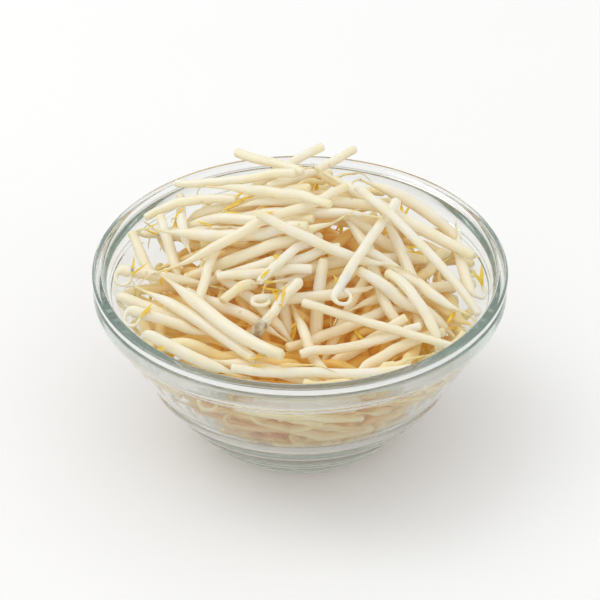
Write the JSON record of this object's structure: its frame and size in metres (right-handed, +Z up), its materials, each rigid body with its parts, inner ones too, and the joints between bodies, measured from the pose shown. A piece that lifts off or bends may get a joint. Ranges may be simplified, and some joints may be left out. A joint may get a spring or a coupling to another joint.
{
  "type": "bowl of bean sprouts",
  "caption": "Clear ribbed glass stacking bowl heaped with fresh mung bean sprouts, lying loose in a mound with a hollow at the front.",
  "frame": {"origin": "centre of the bowl's foot, on the surface it stands on", "axes": "+Z up out of the bowl, +Y towards the back, where the heap is highest, +X to the right"},
  "size_m": [0.14, 0.14, 0.0839],
  "materials": {
    "bowl_glass": "gloss",
    "shaded_sprout": "satin",
    "fresh_sprout": "satin"
  },
  "bodies": {
    "root": {"glass_bowl": "bowl_glass", "sprout_bed": "shaded_sprout", "sprout_01": "fresh_sprout", "sprout_02": "fresh_sprout", "sprout_03": "fresh_sprout", "sprout_04": "fresh_sprout", "sprout_05": "fresh_sprout", "sprout_06": "fresh_sprout", "sprout_07": "fresh_sprout", "sprout_08": "fresh_sprout", "sprout_09": "fresh_sprout", "sprout_10": "fresh_sprout", "sprout_11": "fresh_sprout", "sprout_12": "fresh_sprout", "sprout_13": "fresh_sprout", "sprout_14": "fresh_sprout", "sprout_15": "fresh_sprout", "sprout_16": "fresh_sprout", "sprout_17": "fresh_sprout", "sprout_18": "fresh_sprout", "sprout_19": "fresh_sprout", "sprout_20": "fresh_sprout", "sprout_21": "fresh_sprout", "sprout_22": "fresh_sprout", "sprout_23": "fresh_sprout", "sprout_24": "fresh_sprout", "sprout_25": "fresh_sprout", "sprout_26": "fresh_sprout", "sprout_27": "fresh_sprout", "sprout_28": "fresh_sprout", "sprout_29": "fresh_sprout", "sprout_30": "fresh_sprout", "sprout_31": "fresh_sprout", "sprout_32": "fresh_sprout", "sprout_33": "fresh_sprout", "sprout_34": "fresh_sprout", "sprout_35": "fresh_sprout", "sprout_36": "fresh_sprout", "sprout_37": "fresh_sprout", "sprout_38": "fresh_sprout", "sprout_39": "fresh_sprout", "sprout_40": "fresh_sprout", "sprout_41": "fresh_sprout", "sprout_42": "fresh_sprout", "sprout_43": "fresh_sprout", "sprout_44": "fresh_sprout", "sprout_45": "fresh_sprout", "sprout_46": "fresh_sprout", "sprout_47": "fresh_sprout", "sprout_48": "fresh_sprout", "sprout_49": "fresh_sprout", "sprout_50": "fresh_sprout", "sprout_51": "fresh_sprout", "sprout_52": "fresh_sprout", "sprout_53": "fresh_sprout", "sprout_54": "fresh_sprout", "sprout_55": "fresh_sprout", "sprout_56": "fresh_sprout", "sprout_57": "fresh_sprout", "sprout_58": "fresh_sprout"}
  },
  "joints": []
}
